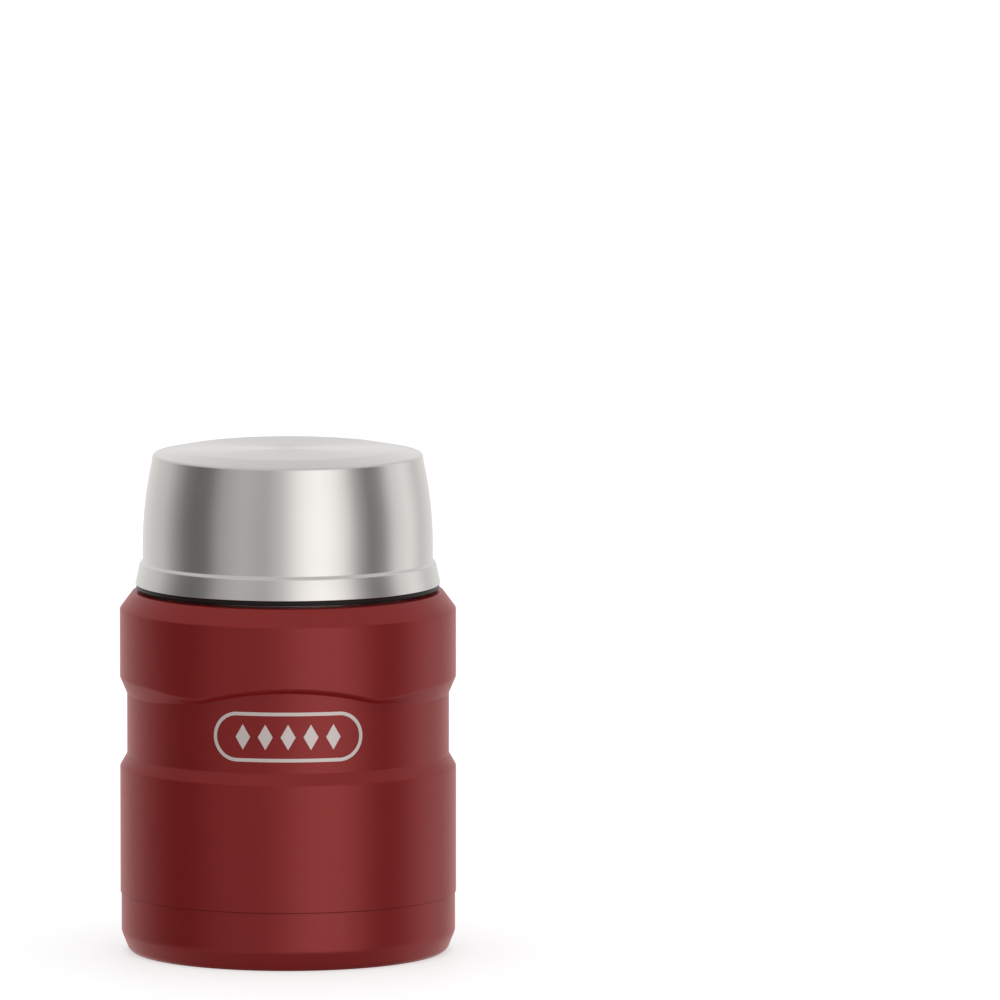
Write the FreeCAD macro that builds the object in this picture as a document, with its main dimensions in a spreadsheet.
import FreeCAD, Part

import math
import os

import Sketcher
from FreeCAD import Vector

# Insulated food jar: a double-walled steel jar, a screw-in stopper with a folding spoon
# in its tray, and a steel cup lid that screws over the neck. Millimetres, +Z up, the
# front with the arched recess towards -Y, the origin on the floor in the middle.

doc = FreeCAD.newDocument("FoodJar")

# Driving sizes
SIZES = [
    ("body_radius", "47.25", "outside of the upper and lower bands"),
    ("waist_depth", "1.98", "how far the waist lies in from the bands"),
    ("shell_wall", "0.6", "painted outer wall"),
    ("lower_band_height", "35.7", "from the seam to the lower slope"),
    ("lower_slope_height", "3.4", "slope from the lower band in to the waist"),
    ("waist_height", "17.3", "straight part of the waist"),
    ("upper_slope_height", "4.6", "slope from the waist out to the upper band"),
    ("upper_band_height", "19.2", "straight part of the upper band"),
    ("shoulder_rise", "4.9", "bevel from the upper band to the top of the shoulder"),
    ("shoulder_inset", "3.65", "how far the shoulder bevel comes in"),
    ("band_round", "1.5", "rounding where the bands meet the slopes"),
    ("arch_rise", "5.7", "crown of the arched recess above the waist"),
    ("arch_half_width", "24.26", "half width of the arch where it leaves the waist"),
    ("cap_step", "0.28", "how far the base cap lies in from the lower band"),
    ("cap_height", "16.7", "from the floor to the seam"),
    ("cap_wall", "0.6", "base cap sheet"),
    ("cap_overlap", "4.0", "rim of the cap inside the shell"),
    ("foot_inset", "3.25", "from the body's outside to the flat of the foot"),
    ("foot_flat", "1.1", "width of the flat ring that the jar stands on"),
    ("foot_edge_inset", "2.15", "from the body's outside to the foot's lower edge"),
    ("foot_edge_height", "1.0", "height of the foot's lower edge"),
    ("foot_bevel_height", "5.7", "height of the top of the foot's bevel"),
    ("base_recess", "2.6", "how far the underside lies above the floor"),
    ("recess_slope", "1.4", "width of the slope inside the foot"),
    ("dimple_radius", "7.0", "dimple round the hole the air was drawn out of"),
    ("dimple_floor_radius", "3.4", "flat middle of the dimple"),
    ("dimple_depth", "1.6", "depth of the dimple"),
    ("pinhole_radius", "0.8", "hole that the vacuum was drawn through"),
    ("disc_radius", "34.0", "plain disc over the dimple"),
    ("disc_thickness", "0.5", "its sheet"),
    ("plug_bead_radius", "2.4", "solder-glass bead"),
    ("plug_bead_height", "1.2", "its depth"),
    ("neck_inset", "9.65", "from the bands in to the threaded neck"),
    ("neck_wall", "0.6", "neck sheet"),
    ("neck_height", "12.2", "from the shoulder to the lip"),
    ("neck_flange_margin", "3.0", "neck's flange from the end of the shoulder bevel"),
    ("throat_gap", "1.0", "vacuum between the neck and the liner's throat"),
    ("jacket_gap", "2.77", "vacuum between the waist and the liner"),
    ("base_gap", "5.3", "vacuum between the base and the liner"),
    ("liner_wall", "0.5", "liner sheet"),
    ("liner_bevel", "5.0", "bevelled inside corner at the liner's floor"),
    ("liner_shoulder_drop", "5.7", "slope from the throat out to the chamber"),
    ("foil_wall", "0.2", "metal foil round the liner"),
    ("foil_margin", "7.0", "foil ends this far from the liner's bevels"),
    ("getter_radius", "6.0", "getter pill"),
    ("getter_height", "1.6", "its thickness"),
    ("thread_lead", "5.0", "climb of both threads in one turn"),
    ("thread_turns", "1.25", "turns from closed to free"),
    ("plug_gap", "1.2", "room for the stopper's thread in the throat"),
    ("plug_wall", "1.5", "stopper wall"),
    ("plug_floor", "1.5", "stopper floor"),
    ("plug_bevel", "1.0", "bevel round the plug's lower edge"),
    ("flange_overhang", "3.2", "flange beyond the plug"),
    ("flange_height", "2.2", "flange thickness"),
    ("grip_count", "36", "grooves round the flange"),
    ("grip_depth", "0.35", "depth of a groove"),
    ("grip_width", "1.6", "width of a groove"),
    ("cover_thickness", "1.2", "top plate of the stopper"),
    ("cover_edge", "1.25", "flange rim that stands round the plate"),
    ("tray_end_gap", "0.6", "gap between the tub's ends and the plug"),
    ("tray_reach", "14.0", "middle of the tray's round ends from the jar's axis"),
    ("tray_depth", "8.0", "depth of the tray"),
    ("tray_wall", "1.2", "wall and floor of the tray"),
    ("foam_gap", "0.8", "gap between the foam and the plug"),
    ("foam_height", "5.2", "thickness of the foam"),
    ("gasket_height", "2.0", "stopper gasket"),
    ("gasket_inset", "0.7", "gasket's outside from the neck's outside"),
    ("thread_room", "1.2", "room for the lid's thread over the neck"),
    ("collar_wall", "1.2", "lid collar"),
    ("collar_draft", "0.35", "how far the collar comes in where the lid tapers"),
    ("collar_ring_height", "1.3", "black ring that shows under the lid"),
    ("collar_ring_inset", "0.3", "ring's outside from the lid's lower edge"),
    ("shoulder_gap", "0.7", "dark gap between the shoulder and the ring"),
    ("ledge_width", "2.9", "collar's ledge over the flange"),
    ("ledge_height", "1.5", "its thickness"),
    ("lid_gasket_height", "1.4", "lid gasket"),
    ("lid_gasket_width", "1.4", "its width"),
    ("lid_fit", "0.16", "lid cup over its collar"),
    ("lid_wall", "0.6", "lid sheet"),
    ("lid_flare", "2.14", "how far the lid's lower edge flares out"),
    ("lid_step_width", "0.84", "step over the flared band"),
    ("lid_step_height", "0.7", "height of that step"),
    ("lid_band_height", "5.95", "flared band of the lid"),
    ("lid_straight_height", "4.1", "straight wall over the step"),
    ("lid_taper_height", "23.4", "curved taper"),
    ("lid_taper_radius", "111.0", "radius of the taper's curve"),
    ("lid_taper_inset", "2.5", "how far the taper comes in"),
    ("lid_rim_height", "2.5", "from the taper to the rim"),
    ("lid_rim_inset", "0.36", "how far the rim comes in"),
    ("lid_bevel_rise", "1.6", "shallow bevel of the lid's top"),
    ("lid_bevel_width", "8.4", "its width"),
    ("bowl_wall", "0.5", "inner bowl sheet"),
    ("bowl_setback", "1.1", "bowl wall from the ledge's inner edge"),
    ("bowl_flange", "1.9", "flange of the bowl on the ledge"),
    ("bowl_bevel", "3.5", "bevelled inside corner of the bowl"),
    ("pad_radius", "29.0", "insulation disc in the lid"),
    ("pad_height", "2.4", "its thickness"),
    ("spoon_tip_gap", "1.0", "gap between the spoon's tip and the tray"),
    ("spoon_side_gap", "2.5", "gap between the spoon's bowl and the tray's sides"),
    ("spoon_depth", "4.6", "depth of the spoon's bowl outside"),
    ("spoon_sheet", "0.9", "spoon steel"),
    ("spoon_shift", "11.0", "bowl's middle from the jar's axis"),
    ("neck_blade_width", "9.0", "blade between the bowl and the hinge"),
    ("hinge_margin", "6.0", "spoon hinge from the end of the tray"),
    ("hinge_rise", "0.7", "hinge above the spoon's rim"),
    ("eye_radius", "2.0", "eye at the end of the blade"),
    ("eye_width", "5.0", "its width"),
    ("pin_radius", "0.85", "hinge pin"),
    ("pin_clearance", "0.05", "pin in its holes"),
    ("pin_head_radius", "1.5", "rivet heads"),
    ("pin_head_height", "0.6", "their height"),
    ("ear_radius", "2.1", "handle ears beside the eye"),
    ("ear_thickness", "0.9", "their sheet"),
    ("handle_tip_gap", "4.0", "gap between the handle's tip and the tray"),
    ("handle_sheet", "1.2", "handle thickness"),
    ("fit_gap", "0.05", "gap between pieces that are pressed or welded"),
    ("seam_gap", "0.1", "gap at the seam that shows"),
    ("seat_gap", "0.3", "gap between pieces that only rest on each other"),
]

# Sizes and places that follow from the driving ones, each written from those above it
PLACES = [
    ("waist_radius", "body_radius - waist_depth"),
    ("cap_radius", "body_radius - cap_step"),
    ("shell_inside", "body_radius - shell_wall"),
    ("waist_inside", "waist_radius - shell_wall"),
    ("seam_z", "cap_height + seam_gap"),
    ("lower_band_top", "cap_height + lower_band_height"),
    ("waist_bottom", "lower_band_top + lower_slope_height"),
    ("waist_top", "waist_bottom + waist_height"),
    ("upper_band_bottom", "waist_top + upper_slope_height"),
    ("upper_band_top", "upper_band_bottom + upper_band_height"),
    ("shoulder_z", "upper_band_top + shoulder_rise"),
    ("shoulder_radius", "body_radius - shoulder_inset"),
    ("arch_fall", "waist_radius - sqrt(waist_radius ^ 2 - arch_half_width ^ 2)"),
    ("arch_tilt", "arch_rise / arch_fall"),
    ("arch_low_z", "waist_top - arch_rise"),
    ("arch_high_z", "waist_top + 2 * arch_rise"),
    ("arch_wall_lift", "shell_wall * sqrt(1 + arch_tilt ^ 2)"),
    ("neck_radius", "body_radius - neck_inset"),
    ("neck_inside", "neck_radius - neck_wall"),
    ("neck_hole_radius", "neck_radius + fit_gap"),
    ("lip_z", "shoulder_z + neck_height"),
    ("neck_top", "lip_z - liner_wall - fit_gap"),
    ("neck_flange_radius", "shoulder_radius - neck_flange_margin"),
    ("neck_flange_z", "shoulder_z - shell_wall - fit_gap"),
    ("cap_rim_radius", "shell_inside - fit_gap"),
    ("cap_rim_top", "cap_height + cap_overlap"),
    ("cap_inside", "cap_radius - cap_wall"),
    ("cap_floor_z", "base_recess + cap_wall"),
    ("foot_outer", "body_radius - foot_inset"),
    ("foot_inner", "foot_outer - foot_flat"),
    ("foot_middle", "( foot_inner + foot_outer ) / 2"),
    ("foot_edge_radius", "body_radius - foot_edge_inset"),
    ("dimple_z", "base_recess + dimple_depth"),
    ("base_disc_z", "base_recess - fit_gap - disc_thickness"),
    ("throat_outside", "neck_inside - throat_gap"),
    ("throat_radius", "throat_outside - liner_wall"),
    ("liner_outside", "waist_inside - jacket_gap"),
    ("liner_radius", "liner_outside - liner_wall"),
    ("liner_bottom", "cap_floor_z + base_gap"),
    ("liner_floor", "liner_bottom + liner_wall"),
    ("liner_outer_bevel", "liner_bevel + liner_wall / 2"),
    ("climb", "thread_lead * thread_turns"),
    ("climb_room", "climb + seat_gap + fit_gap"),
    ("plug_radius", "throat_radius - plug_gap"),
    ("plug_inside", "plug_radius - plug_wall"),
    ("gasket_z", "lip_z + seat_gap"),
    ("flange_z", "gasket_z + gasket_height + seat_gap"),
    ("flange_top", "flange_z + flange_height"),
    ("flange_radius", "plug_radius + flange_overhang"),
    ("grip_radius", "grip_width / 2"),
    ("grip_reach", "flange_radius + grip_radius - grip_depth"),
    ("cover_radius", "flange_radius - cover_edge - fit_gap"),
    ("cover_z", "flange_top - cover_thickness"),
    ("tray_z", "flange_top - tray_depth"),
    ("tray_half_length", "plug_inside - tray_end_gap - tray_wall"),
    ("tray_half_width", "tray_half_length - tray_reach"),
    ("tray_bottom", "tray_z - tray_wall"),
    ("foam_radius", "plug_inside - foam_gap"),
    ("foam_top", "tray_bottom - seat_gap"),
    ("foam_bottom", "foam_top - foam_height"),
    ("plug_floor_z", "foam_bottom - climb_room"),
    ("plug_bottom", "plug_floor_z - plug_floor"),
    ("liner_shoulder_z", "plug_bottom - liner_shoulder_drop"),
    ("collar_inside", "neck_radius + thread_room"),
    ("collar_outside", "collar_inside + collar_wall"),
    ("collar_z", "shoulder_z + shoulder_gap"),
    ("lid_z", "collar_z + collar_ring_height + fit_gap"),
    ("lid_gasket_z", "flange_top + seat_gap"),
    ("ledge_z", "lid_gasket_z + lid_gasket_height + seat_gap"),
    ("ledge_top", "ledge_z + ledge_height"),
    ("ledge_inside", "collar_inside - ledge_width"),
    ("lid_radius", "collar_outside + lid_fit + lid_wall"),
    ("lid_edge_radius", "lid_radius + lid_flare"),
    ("lid_step_radius", "lid_radius + lid_step_width"),
    ("lid_step_z", "lid_z + lid_band_height"),
    ("lid_wall_z", "lid_step_z + lid_step_height"),
    ("lid_taper_z", "lid_wall_z + lid_straight_height"),
    ("lid_taper_top", "lid_taper_z + lid_taper_height"),
    ("lid_taper_end", "lid_radius - lid_taper_inset"),
    ("lid_rim_z", "lid_taper_top + lid_rim_height"),
    ("lid_rim_radius", "lid_taper_end - lid_rim_inset"),
    ("lid_top", "lid_rim_z + lid_bevel_rise"),
    ("lid_flat_radius", "lid_rim_radius - lid_bevel_width"),
    ("pad_top", "lid_top - lid_wall - seat_gap"),
    ("pad_z", "pad_top - pad_height"),
    ("bowl_top", "pad_z - climb_room"),
    ("bowl_z", "ledge_top + fit_gap"),
    ("bowl_radius", "ledge_inside + bowl_setback"),
    ("bowl_outer_bevel", "bowl_bevel + bowl_wall / 2"),
    ("spoon_half_length", "tray_half_length - spoon_tip_gap - spoon_shift"),
    ("spoon_half_width", "tray_half_width - spoon_side_gap"),
    ("spoon_z", "tray_z + seat_gap"),
    ("spoon_rim_z", "spoon_z + spoon_depth"),
    ("dish_span", "2 * ( spoon_half_length - spoon_half_width )"),
    ("dish_radius", "( spoon_half_width ^ 2 + spoon_depth ^ 2 ) / ( 2 * spoon_depth )"),
    ("dish_z", "spoon_z + dish_radius"),
    ("hinge_offset", "tray_half_length - hinge_margin"),
    ("hinge_z", "spoon_rim_z + hinge_rise"),
    ("handle_length", "hinge_offset + tray_half_length - handle_tip_gap"),
    ("hole_radius", "pin_radius + pin_clearance"),
    ("ear_offset", "eye_width / 2 + seat_gap"),
    ("handle_half_width", "ear_offset + ear_thickness"),
    ("pin_half_length", "handle_half_width + fit_gap"),
]

sheet = doc.addObject("Spreadsheet::Sheet", "Sizes")
for row, (alias, text, note) in enumerate(SIZES, start=1):
    sheet.set(f"A{row}", alias)
    sheet.set(f"B{row}", text)
    sheet.setAlias(f"B{row}", alias)
    sheet.set(f"C{row}", note)
places = doc.addObject("Spreadsheet::Sheet", "Places")
sizes_known = {alias for alias, text, note in SIZES}
places_known = {alias for alias, text in PLACES}


def bound(text):
    """The same formula with each size and place named as a cell of its sheet."""
    words = text.replace("(", "( ").replace(")", " )").split()
    for i, word in enumerate(words):
        if word in sizes_known:
            words[i] = "Sizes." + word
        elif word in places_known:
            words[i] = "Places." + word
    return " ".join(words)


for row, (alias, text) in enumerate(PLACES, start=1):
    places.set(f"A{row}", alias)
    places.set(f"B{row}", "=" + bound(text).replace("Places.", ""))
    places.setAlias(f"B{row}", alias)
doc.recompute()


def size(text):
    """The present value of a size, a place or a sum of them."""
    total = 0.0
    sign = 1.0
    for word in text.split():
        if word in ("+", "-"):
            sign = 1.0 if word == "+" else -1.0
        elif word in sizes_known:
            total += sign * sheet.get(word)
        elif word in places_known:
            total += sign * places.get(word)
        else:
            total += sign * float(word)
    return total


def bind(item, **formulas):
    """Ties the named properties of a document object to the sheets."""
    for name, text in formulas.items():
        item.setExpression(name.replace("__", "."), bound(text))


def new_body(name):
    body = doc.addObject("PartDesign::Body", name)
    body.Label = name
    return body


def new_sketch(body, name, plane, lift=None):
    """A sketch on one of the body's own planes, raised by a size along its normal."""
    sketch = body.newObject("Sketcher::SketchObject", name)
    origin = [item for item in body.Origin.OriginFeatures if item.Role == plane]
    sketch.AttachmentSupport = [(origin[0], "")]
    sketch.MapMode = "FlatFace"
    if lift:
        bind(sketch, AttachmentOffset__Base__z=lift)
    return sketch


def hold(sketch, name, kind, places_held, text):
    """Adds one dimension to a sketch and ties it to the sheets."""
    index = sketch.addConstraint(Sketcher.Constraint(kind, *places_held, size(text)))
    sketch.renameConstraint(index, name)
    sketch.setExpression(f"Constraints.{name}", bound(text))


def pin_corner(sketch, edge, end, name, corner, side):
    """Fixes a point of an outline by its distance from the axis and its height."""
    if corner[0] == "0":
        sketch.addConstraint(Sketcher.Constraint("PointOnObject", edge, end, -2))
    elif side > 0:
        hold(sketch, name + "_out", "DistanceX", (-1, 1, edge, end), corner[0])
    else:
        hold(sketch, name + "_out", "DistanceX", (edge, end, -1, 1), corner[0])
    if corner[1] == "0":
        sketch.addConstraint(Sketcher.Constraint("PointOnObject", edge, end, -1))
    else:
        hold(sketch, name + "_up", "DistanceY", (-1, 1, edge, end), corner[1])


def arc_between(first, last, radius, turn):
    """The arc from first to last whose centre is on the left (turn 1) or right (-1)."""
    if turn < 0:
        first, last = last, first
    chord = last - first
    half = chord.Length / 2
    side = Vector(-chord.y, chord.x, 0).normalize()
    centre = first + chord * 0.5 + side * math.sqrt(radius**2 - half**2)
    begin = math.atan2(first.y - centre.y, first.x - centre.x)
    end = math.atan2(last.y - centre.y, last.x - centre.x)
    if end < begin:
        end += 2 * math.pi
    return Part.ArcOfCircle(Part.Circle(centre, Vector(0, 0, 1), radius), begin, end)


def add_arc(sketch, first, last, text, turn, name):
    """Adds an arc with a held radius; gives its number and its first and last ends."""
    arc = arc_between(first, last, size(text), turn)
    edge = sketch.addGeometry(arc, False)
    hold(sketch, name, "Radius", (edge,), text)
    return (edge, 1, 2) if turn > 0 else (edge, 2, 1)


def outline(sketch, corners, side=1):
    """A closed outline of radius and height pairs, in order, on either side of the axis.

    A corner may carry one more entry, the radius that rounds it, or two more: the
    radius of the arc that arrives at it, and 1 or -1 for the side its centre is on.
    """
    points = [Vector(side * size(corner[0]), size(corner[1]), 0) for corner in corners]
    count = len(corners)
    arrive = list(points)
    leave = list(points)
    turns = [1] * count
    for i, corner in enumerate(corners):
        if len(corner) != 3:
            continue
        back = (points[i - 1] - points[i]).normalize()
        ahead = (points[(i + 1) % count] - points[i]).normalize()
        reach = size(corner[2]) / math.tan(back.getAngle(ahead) / 2)
        arrive[i] = points[i] + back * reach
        leave[i] = points[i] + ahead * reach
        turns[i] = 1 if ahead.cross(back).z > 0 else -1
    sides = []
    for i in range(count):
        j = (i + 1) % count
        if len(corners[j]) == 4:
            text, turn = corners[j][2:]
            sides.append(add_arc(sketch, leave[i], arrive[j], text, turn, f"arc_{j}"))
        else:
            line = Part.LineSegment(leave[i], arrive[j])
            sides.append((sketch.addGeometry(line, False), 1, 2))
    for i, corner in enumerate(corners):
        arriving, arriving_start, arriving_end = sides[i - 1]
        leaving, leaving_start, leaving_end = sides[i]
        if len(corner) != 3:
            sketch.addConstraint(
                Sketcher.Constraint(
                    "Coincident", arriving, arriving_end, leaving, leaving_start
                )
            )
            pin_corner(sketch, leaving, leaving_start, f"corner_{i}", corner, side)
            continue
        name = f"round_{i}"
        arc, first, last = add_arc(sketch, arrive[i], leave[i], corner[2], turns[i], name)
        sketch.addConstraint(
            Sketcher.Constraint("Tangent", arriving, arriving_end, arc, first)
        )
        sketch.addConstraint(
            Sketcher.Constraint("Tangent", arc, last, leaving, leaving_start)
        )
        tip = sketch.addGeometry(Part.Point(points[i]), True)
        sketch.addConstraint(Sketcher.Constraint("PointOnObject", tip, 1, arriving))
        sketch.addConstraint(Sketcher.Constraint("PointOnObject", tip, 1, leaving))
        pin_corner(sketch, tip, 1, f"corner_{i}", corner, side)


def turned(name, corners):
    """A body turned on the jar's axis from an outline of radius and height."""
    body = new_body(name)
    sketch = new_sketch(body, name + "_outline", "XZ_Plane")
    outline(sketch, corners)
    feature = body.newObject("PartDesign::Revolution", name + "_turned")
    feature.Profile = sketch
    feature.ReferenceAxis = (sketch, ["V_Axis"])
    feature.Angle = 360
    doc.recompute()
    return body


def cylinder(name, radius, height, base_z):
    item = doc.addObject("Part::Cylinder", name)
    bind(item, Radius=radius, Height=height, Placement__Base__z=base_z)
    return item


def boolean(kind, name, base, tool):
    item = doc.addObject(kind, name)
    item.Label = name
    item.Base = base
    item.Tool = tool
    doc.recompute()
    return item


def fused(name, items):
    item = doc.addObject("Part::MultiFuse", name)
    item.Label = name
    item.Shapes = items
    item.Refine = True
    doc.recompute()
    return item


nodes = []

# Outer shell. One hydroformed tube: two bands, a waist between them, a bevelled
# shoulder, and a recess at the waist's depth that rises in an arch into the upper band.


def shell_form(name, inset, arch_lift, edge_round):
    """The solid form inside one face of the shell wall.

    The arch is where a tilted plane meets the waist's round wall: what lies in front
    of the waist and under that plane is cut from the upper band.
    """
    form = turned(
        name + "_turned",
        [
            ("0", "seam_z"),
            ("body_radius" + inset, "seam_z"),
            ("body_radius" + inset, "lower_band_top", *edge_round),
            ("waist_radius" + inset, "waist_bottom"),
            ("waist_radius" + inset, "waist_top"),
            ("body_radius" + inset, "upper_band_bottom", *edge_round),
            ("body_radius" + inset, "upper_band_top" + inset, *edge_round),
            ("shoulder_radius" + inset, "shoulder_z" + inset),
            ("0", "shoulder_z" + inset),
        ],
    )
    wedge = new_body(name + "_wedge")
    sketch = new_sketch(wedge, name + "_wedge_outline", "YZ_Plane")
    outline(
        sketch,
        [
            ("waist_radius - arch_fall - arch_fall", "arch_low_z" + arch_lift),
            ("waist_radius - arch_fall - arch_fall", "waist_bottom"),
            ("waist_radius + arch_fall", "waist_bottom"),
            ("waist_radius + arch_fall", "arch_high_z" + arch_lift),
        ],
        -1,
    )
    pad = wedge.newObject("PartDesign::Pad", name + "_wedge_pad")
    pad.Profile = sketch
    pad.Midplane = True
    bind(pad, Length="body_radius + body_radius")
    doc.recompute()
    waist = cylinder(
        name + "_waist", "waist_radius" + inset, "shoulder_z - cap_height", "cap_height"
    )
    recess = boolean("Part::Cut", name + "_arched_recess", wedge, waist)
    return boolean("Part::Cut", name, form, recess)


shell_outside = shell_form("shell_outside_form", "", "", ["band_round"])
shell_hollow = shell_form("shell_inside_form", " - shell_wall", " + arch_wall_lift", [])
shell_walls = boolean("Part::Cut", "shell_walls", shell_outside, shell_hollow)
neck_hole = cylinder(
    "neck_hole", "neck_hole_radius", "shoulder_z - waist_bottom", "waist_bottom"
)
outer_shell = boolean("Part::Cut", "outer_shell", shell_walls, neck_hole)
nodes.append(outer_shell)

# Base cap. A drawn cup welded into the shell's lower end, with the foot ring, a raised
# underside and the dimple that the air was drawn out through.
base_cap = turned(
    "base_cap",
    [
        ("pinhole_radius", "dimple_z"),
        ("dimple_floor_radius", "dimple_z"),
        ("dimple_radius", "base_recess"),
        ("foot_inner - recess_slope", "base_recess"),
        ("foot_inner", "0"),
        ("foot_outer", "0"),
        ("foot_edge_radius", "foot_edge_height"),
        ("cap_radius", "foot_bevel_height"),
        ("cap_radius", "cap_height"),
        ("cap_rim_radius", "cap_height"),
        ("cap_rim_radius", "cap_rim_top"),
        ("cap_rim_radius - cap_wall", "cap_rim_top"),
        ("cap_rim_radius - cap_wall", "cap_height - cap_wall"),
        ("cap_inside", "cap_height - cap_wall - cap_wall"),
        ("cap_inside", "foot_bevel_height"),
        ("foot_edge_radius - cap_wall", "foot_edge_height + cap_wall"),
        ("foot_middle", "cap_wall + cap_wall"),
        ("foot_inner - recess_slope + cap_wall", "cap_floor_z"),
        ("dimple_radius - cap_wall", "cap_floor_z"),
        ("dimple_floor_radius - cap_wall", "dimple_z + cap_wall"),
        ("pinhole_radius", "dimple_z + cap_wall"),
    ],
)
nodes.append(base_cap)

# Vacuum plug. A bead of solder glass melted into the dimple's hole.
vacuum_plug = turned(
    "vacuum_plug",
    [
        ("0", "dimple_z - plug_bead_height"),
        ("plug_bead_radius - pinhole_radius", "dimple_z - plug_bead_height"),
        ("plug_bead_radius", "dimple_z - plug_bead_height + cap_wall"),
        ("plug_bead_radius", "dimple_z"),
        ("pinhole_radius - fit_gap", "dimple_z"),
        ("pinhole_radius - fit_gap", "dimple_z + cap_wall - fit_gap"),
        ("0", "dimple_z + cap_wall - fit_gap"),
    ],
)
nodes.append(vacuum_plug)

# Base disc. A plain steel disc glued under the cap over the dimple.
base_disc = turned(
    "base_disc",
    [
        ("0", "base_disc_z"),
        ("disc_radius", "base_disc_z"),
        ("disc_radius", "base_recess - fit_gap"),
        ("0", "base_recess - fit_gap"),
    ],
)
nodes.append(base_disc)

# Neck ring. The rolled steel neck, with a flange welded under the shoulder.
neck_ring = turned(
    "neck_ring",
    [
        ("neck_inside", "neck_top"),
        ("neck_inside", "neck_flange_z - neck_wall"),
        ("neck_flange_radius", "neck_flange_z - neck_wall"),
        ("neck_flange_radius", "neck_flange_z"),
        ("neck_radius", "neck_flange_z"),
        ("neck_radius", "neck_top"),
    ],
)
nodes.append(neck_ring)

# Inner vessel. The drawn liner: a rolled lip on the neck, a straight throat for the
# stopper's thread, a sloped shoulder and the wide chamber with its bevelled floor.
inner_vessel = turned(
    "inner_vessel",
    [
        ("0", "liner_bottom"),
        ("liner_outside - liner_outer_bevel", "liner_bottom"),
        ("liner_outside", "liner_bottom + liner_outer_bevel"),
        ("liner_outside", "liner_shoulder_z"),
        ("throat_outside", "plug_bottom"),
        ("throat_outside", "lip_z - liner_wall"),
        ("neck_radius", "lip_z - liner_wall"),
        ("neck_radius", "lip_z"),
        ("throat_radius", "lip_z"),
        ("throat_radius", "plug_bottom"),
        ("liner_radius", "liner_shoulder_z"),
        ("liner_radius", "liner_floor + liner_bevel"),
        ("liner_radius - liner_bevel", "liner_floor"),
        ("0", "liner_floor"),
    ],
)
nodes.append(inner_vessel)

# Radiation foil. Wrapped round the liner's straight wall inside the vacuum.
radiation_foil = turned(
    "radiation_foil",
    [
        ("liner_outside + seat_gap", "liner_floor + liner_bevel + foil_margin"),
        ("liner_outside + seat_gap + foil_wall", "liner_floor + liner_bevel + foil_margin"),
        ("liner_outside + seat_gap + foil_wall", "liner_shoulder_z - foil_margin"),
        ("liner_outside + seat_gap", "liner_shoulder_z - foil_margin"),
    ],
)
nodes.append(radiation_foil)

# Getter. A pressed pill with a rounded edge, held just under the liner's floor.
getter = turned(
    "getter",
    [
        ("0", "liner_bottom - seat_gap - getter_height"),
        ("getter_radius - cap_wall", "liner_bottom - seat_gap - getter_height"),
        ("getter_radius", "liner_bottom - seat_gap - getter_height + cap_wall"),
        ("getter_radius", "liner_bottom - seat_gap"),
        ("0", "liner_bottom - seat_gap"),
    ],
)
nodes.append(getter)

# Stopper body. A moulded plug with a flange that stands on the gasket over the lip,
# and a rim that the cover plate drops into.
stopper_body = turned(
    "stopper_body",
    [
        ("0", "plug_bottom"),
        ("plug_radius - plug_bevel", "plug_bottom"),
        ("plug_radius", "plug_bottom + plug_bevel"),
        ("plug_radius", "flange_z"),
        ("flange_radius", "flange_z"),
        ("flange_radius", "flange_top"),
        ("flange_radius - cover_edge", "flange_top"),
        ("flange_radius - cover_edge", "cover_z - fit_gap"),
        ("plug_inside", "cover_z - fit_gap"),
        ("plug_inside", "plug_floor_z"),
        ("0", "plug_floor_z"),
    ],
)
plain_volume = stopper_body.Shape.Volume
grip_sketch = new_sketch(stopper_body, "grip_outline", "XY_Plane", "flange_top")
grip_circle = Part.Circle(Vector(size("grip_reach"), 0, 0), Vector(0, 0, 1), size("grip_radius"))
grip_sketch.addGeometry(grip_circle, False)
grip_sketch.addConstraint(Sketcher.Constraint("PointOnObject", 0, 3, -1))
hold(grip_sketch, "groove", "Radius", (0,), "grip_radius")
hold(grip_sketch, "reach", "DistanceX", (-1, 1, 0, 3), "grip_reach")
grip_groove = stopper_body.newObject("PartDesign::Pocket", "grip_groove")
grip_groove.Profile = grip_sketch
bind(grip_groove, Length="flange_height")
doc.recompute()
grips = stopper_body.newObject("PartDesign::PolarPattern", "grips")
grips.Originals = [grip_groove]
grips.Axis = (grip_sketch, ["N_Axis"])
grips.Angle = 360
bind(grips, Occurrences="grip_count")
stopper_body.Tip = grips
doc.recompute()
if not stopper_body.Shape.Volume < plain_volume:
    raise RuntimeError("the grip grooves cut nothing")
nodes.append(stopper_body)


# Stopper cover. The round top plate with a long tray that the folded spoon lies in.
def slot_outline(sketch, end_reach, end_round):
    """A long slot, centred on the axis: the place and the radius of its round ends."""
    reach = size(end_reach)
    width = size(end_round)
    up = Vector(0, 0, 1)
    left = Part.Circle(Vector(-reach, 0, 0), up, width)
    right = Part.Circle(Vector(reach, 0, 0), up, width)
    quarter = math.pi / 2
    sketch.addGeometry(
        [
            Part.ArcOfCircle(right, -quarter, quarter),
            Part.LineSegment(Vector(reach, width, 0), Vector(-reach, width, 0)),
            Part.ArcOfCircle(left, quarter, 3 * quarter),
            Part.LineSegment(Vector(-reach, -width, 0), Vector(reach, -width, 0)),
        ],
        False,
    )
    for edge, next_edge in ((0, 1), (1, 2), (2, 3), (3, 0)):
        sketch.addConstraint(Sketcher.Constraint("Tangent", edge, 2, next_edge, 1))
    sketch.addConstraint(Sketcher.Constraint("PointOnObject", 0, 3, -1))
    sketch.addConstraint(Sketcher.Constraint("Symmetric", 0, 3, 2, 3, -1, 1))
    hold(sketch, "end_round", "Radius", (0,), end_round)
    hold(sketch, "end_reach", "DistanceX", (-1, 1, 0, 3), end_reach)


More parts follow.
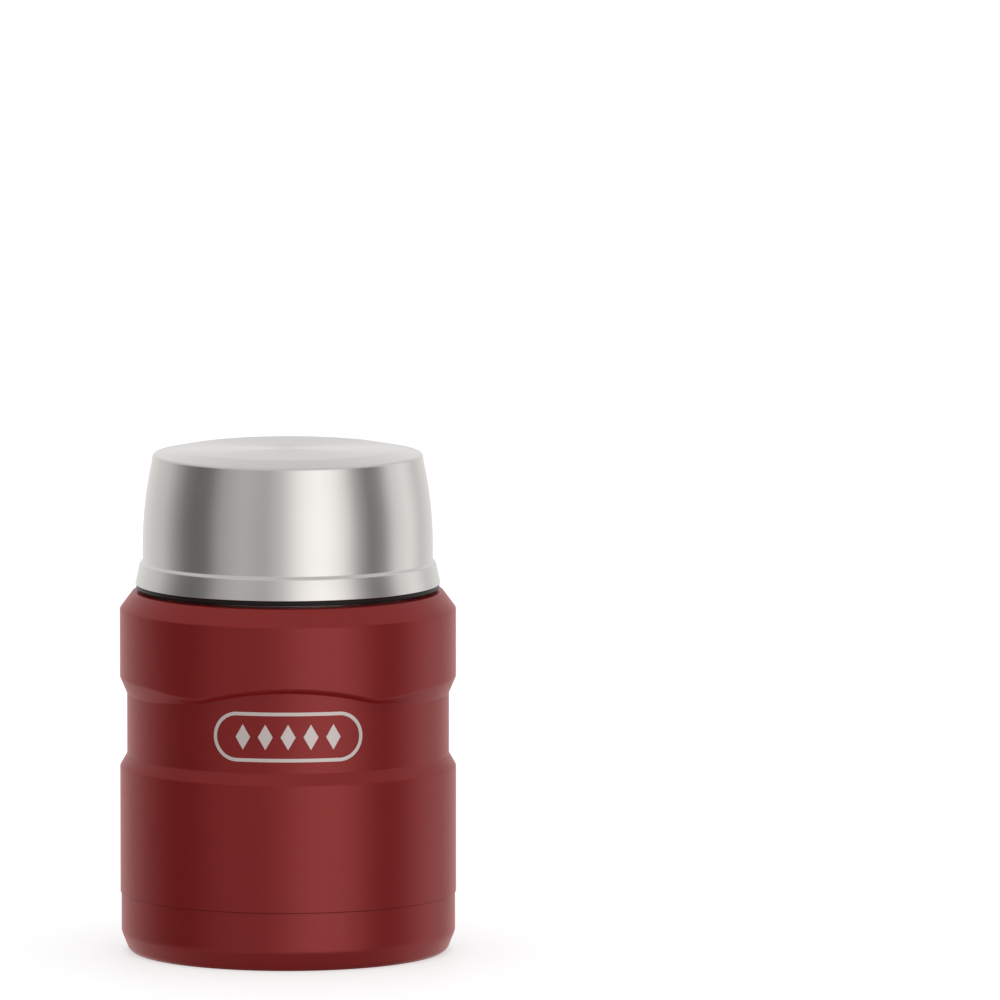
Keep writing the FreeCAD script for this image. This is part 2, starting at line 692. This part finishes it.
stopper_cover = turned(
    "stopper_cover",
    [
        ("0", "cover_z"),
        ("cover_radius", "cover_z"),
        ("cover_radius", "flange_top"),
        ("0", "flange_top"),
    ],
)
tub_sketch = new_sketch(stopper_cover, "tub_outline", "XY_Plane", "tray_bottom")
slot_outline(tub_sketch, "tray_reach", "tray_half_width + tray_wall")
tub = stopper_cover.newObject("PartDesign::Pad", "tub")
tub.Profile = tub_sketch
bind(tub, Length="tray_depth + tray_wall")
doc.recompute()
tub_volume = stopper_cover.Shape.Volume
tray_sketch = new_sketch(stopper_cover, "tray_outline", "XY_Plane", "flange_top")
slot_outline(tray_sketch, "tray_reach", "tray_half_width")
tray = stopper_cover.newObject("PartDesign::Pocket", "tray")
tray.Profile = tray_sketch
bind(tray, Length="tray_depth")
doc.recompute()
if not stopper_cover.Shape.Volume < tub_volume:
    raise RuntimeError("the tray cuts nothing")
nodes.append(stopper_cover)


def ring(name, inner, outer, low, high):
    """A plain round ring with a square section."""
    return turned(name, [(inner, low), (outer, low), (outer, high), (inner, high)])


# Stopper foam. A disc of insulation under the tray.
stopper_foam = turned(
    "stopper_foam",
    [
        ("0", "foam_bottom"),
        ("foam_radius", "foam_bottom"),
        ("foam_radius", "foam_top"),
        ("0", "foam_top"),
    ],
)
nodes.append(stopper_foam)

# Stopper gasket. A silicone ring between the flange and the lip.
stopper_gasket = ring(
    "stopper_gasket",
    "plug_radius + seat_gap",
    "neck_radius - gasket_inset",
    "gasket_z",
    "gasket_z + gasket_height",
)
nodes.append(stopper_gasket)

# Lid collar. The black threaded ring inside the lid: its lower flange shows under the
# steel, and its ledge presses the lid gasket on the stopper.
lid_collar = turned(
    "lid_collar",
    [
        ("collar_inside", "collar_z"),
        ("lid_edge_radius - collar_ring_inset", "collar_z"),
        ("lid_edge_radius - collar_ring_inset", "lid_z - fit_gap"),
        ("collar_outside", "lid_z - fit_gap"),
        ("collar_outside", "lid_taper_z"),
        ("collar_outside - collar_draft", "ledge_top"),
        ("ledge_inside", "ledge_top"),
        ("ledge_inside", "ledge_z"),
        ("collar_inside", "ledge_z"),
    ],
)
nodes.append(lid_collar)

# Lid gasket. A silicone ring under the collar's ledge.
lid_gasket = ring(
    "lid_gasket",
    "ledge_inside",
    "ledge_inside + lid_gasket_width",
    "lid_gasket_z",
    "lid_gasket_z + lid_gasket_height",
)
nodes.append(lid_gasket)

# Lid shell. The brushed steel cup: a flared band over the black ring, a small step, a
# straight wall that tapers in on a long curve, and a shallow bevel up to the flat top.
lid_shell = turned(
    "lid_shell",
    [
        ("lid_edge_radius - lid_wall", "lid_z"),
        ("lid_edge_radius", "lid_z"),
        ("lid_step_radius", "lid_step_z"),
        ("lid_radius", "lid_wall_z"),
        ("lid_radius", "lid_taper_z"),
        ("lid_taper_end", "lid_taper_top", "lid_taper_radius", 1),
        ("lid_rim_radius", "lid_rim_z"),
        ("lid_flat_radius", "lid_top"),
        ("0", "lid_top"),
        ("0", "lid_top - lid_wall"),
        ("lid_flat_radius", "lid_top - lid_wall"),
        ("lid_rim_radius - lid_wall", "lid_rim_z - lid_wall"),
        ("lid_taper_end - lid_wall", "lid_taper_top - lid_wall"),
        ("lid_radius - lid_wall", "lid_taper_z", "lid_taper_radius - lid_wall", -1),
        ("lid_radius - lid_wall", "lid_wall_z"),
        ("lid_step_radius - lid_wall", "lid_step_z"),
    ],
)
nodes.append(lid_shell)

# Lid bowl. The inner steel cup, clamped on the collar's ledge, that the food is eaten
# from when the lid is turned over.
lid_bowl = turned(
    "lid_bowl",
    [
        ("bowl_radius", "bowl_z"),
        ("bowl_radius + bowl_wall + bowl_flange", "bowl_z"),
        ("bowl_radius + bowl_wall + bowl_flange", "bowl_z + bowl_wall"),
        ("bowl_radius + bowl_wall", "bowl_z + bowl_wall"),
        ("bowl_radius + bowl_wall", "bowl_top - bowl_outer_bevel"),
        ("bowl_radius + bowl_wall - bowl_outer_bevel", "bowl_top"),
        ("0", "bowl_top"),
        ("0", "bowl_top - bowl_wall"),
        ("bowl_radius - bowl_bevel", "bowl_top - bowl_wall"),
        ("bowl_radius", "bowl_top - bowl_wall - bowl_bevel"),
    ],
)
nodes.append(lid_bowl)

# Lid insulation. A disc under the lid's top, over the bowl.
lid_insulation = turned(
    "lid_insulation",
    [
        ("0", "pad_z"),
        ("pad_radius", "pad_z"),
        ("pad_radius", "pad_top"),
        ("0", "pad_top"),
    ],
)
nodes.append(lid_insulation)


# Spoon. A short steel spoon that folds once: bowl with a blade and an eye, a handle
# with two ears beside the eye, and a riveted pin through them.
def block(name, length, width, height, x, z):
    """A block centred across Y."""
    item = doc.addObject("Part::Box", name)
    bind(
        item,
        Length=length,
        Width=width,
        Height=height,
        Placement__Base__x=x,
        Placement__Base__y="0 - ( " + width + " ) / 2",
        Placement__Base__z=z,
    )
    return item


def ball(name, radius, x, z):
    item = doc.addObject("Part::Sphere", name)
    bind(item, Radius=radius, Placement__Base__x=x, Placement__Base__z=z)
    return item


def dished_form(name, inset):
    """What lies under the spoon's rim inside a round-ended trough: a cylinder, two balls."""
    trough = cylinder(name + "_trough", "dish_radius" + inset, "dish_span", "dish_z")
    trough.Placement.Rotation = FreeCAD.Rotation(Vector(0, 1, 0), 90)
    bind(trough, Placement__Base__x="0 - spoon_shift - dish_span / 2")
    ends = [
        ball(name + "_tip", "dish_radius" + inset, "0 - spoon_shift - dish_span / 2", "dish_z"),
        ball(name + "_heel", "dish_radius" + inset, "dish_span / 2 - spoon_shift", "dish_z"),
    ]
    whole = fused(name + "_whole", [trough] + ends)
    below_rim = block(
        name + "_below_rim",
        "spoon_half_length + spoon_half_length + spoon_depth",
        "spoon_half_width + spoon_half_width + spoon_depth",
        "spoon_depth + spoon_depth",
        "0 - spoon_shift - spoon_half_length - spoon_depth / 2",
        "spoon_rim_z - spoon_depth - spoon_depth",
    )
    return boolean("Part::Common", name, whole, below_rim)


def cross_cylinder(name, radius, width):
    """A cylinder along Y on the spoon's hinge, centred."""
    item = doc.addObject("Part::Cylinder", name)
    item.Placement.Rotation = FreeCAD.Rotation(Vector(1, 0, 0), 90)
    bind(
        item,
        Radius=radius,
        Height=width,
        Placement__Base__x="hinge_offset",
        Placement__Base__y="( " + width + " ) / 2",
        Placement__Base__z="hinge_z",
    )
    return item


blade = block(
    "spoon_blade",
    "hinge_offset - spoon_half_length + spoon_shift",
    "neck_blade_width",
    "spoon_sheet",
    "spoon_half_length - spoon_shift - spoon_sheet",
    "spoon_rim_z - spoon_sheet",
)
tongue = block(
    "spoon_tongue",
    "eye_radius + eye_radius",
    "eye_width",
    "spoon_sheet",
    "hinge_offset - eye_radius - eye_radius",
    "spoon_rim_z - spoon_sheet",
)
ear_room = block(
    "spoon_ear_room",
    "hinge_offset",
    "neck_blade_width + neck_blade_width",
    "spoon_depth",
    "hinge_offset - ear_radius - seat_gap",
    "spoon_rim_z - spoon_sheet - seat_gap",
)
blade_cut = boolean("Part::Cut", "spoon_blade_cut", blade, ear_room)
eye = cross_cylinder("spoon_eye", "eye_radius", "eye_width")
bowl_form = dished_form("spoon_bowl_form", "")
bowl_hollow = dished_form("spoon_bowl_hollow", " - spoon_sheet")
spoon_blank = fused("spoon_blank", [bowl_form, blade_cut, tongue, eye])
spoon_dished = boolean("Part::Cut", "spoon_dished", spoon_blank, bowl_hollow)
eye_hole = cross_cylinder("spoon_eye_hole", "hole_radius", "eye_width + eye_width")
spoon_bowl = boolean("Part::Cut", "spoon_bowl", spoon_dished, eye_hole)
nodes.append(spoon_bowl)

handle_plate = block(
    "handle_plate",
    "handle_length",
    "handle_half_width + handle_half_width",
    "handle_sheet",
    "hinge_offset - handle_length",
    "hinge_z + ear_radius - handle_sheet",
)
ears = cross_cylinder(
    "handle_ears", "ear_radius", "handle_half_width + handle_half_width"
)
handle_blank = fused("handle_blank", [handle_plate, ears])
between_ears = block(
    "between_ears",
    "eye_radius + eye_radius + seat_gap + seat_gap",
    "ear_offset + ear_offset",
    "spoon_depth + spoon_depth",
    "hinge_offset - eye_radius - seat_gap",
    "hinge_z - spoon_depth",
)
handle_open = boolean("Part::Cut", "handle_open", handle_blank, between_ears)
ear_holes = cross_cylinder(
    "handle_ear_holes", "hole_radius", "neck_blade_width + neck_blade_width"
)
spoon_handle = boolean("Part::Cut", "spoon_handle", handle_open, ear_holes)
nodes.append(spoon_handle)

pin_shank = cross_cylinder(
    "pin_shank", "pin_radius", "pin_half_length + pin_half_length + fit_gap"
)
pin_heads = cross_cylinder(
    "pin_heads",
    "pin_head_radius",
    "pin_half_length + pin_half_length + pin_head_height + pin_head_height",
)
between_heads = cross_cylinder(
    "between_heads", "eye_radius", "pin_half_length + pin_half_length"
)
pin_ends = boolean("Part::Cut", "pin_ends", pin_heads, between_heads)
spoon_pin = fused("spoon_pin", [pin_shank, pin_ends])
nodes.append(spoon_pin)

# Checks before anything is written
doc.recompute()
for item in doc.Objects:
    if "Invalid" in item.State or "Error" in item.State:
        raise RuntimeError(f"{item.Name} has failed: {item.State}")
os.makedirs("parts", exist_ok=True)
for node in nodes:
    shape = node.Shape
    if shape.isNull() or not shape.isValid():
        raise RuntimeError(f"{node.Label} has no valid shape")
    shape.exportStep(os.path.join("parts", node.Label + ".step"))
    print(node.Label, "solids", len(shape.Solids), "volume", round(shape.Volume, 2))
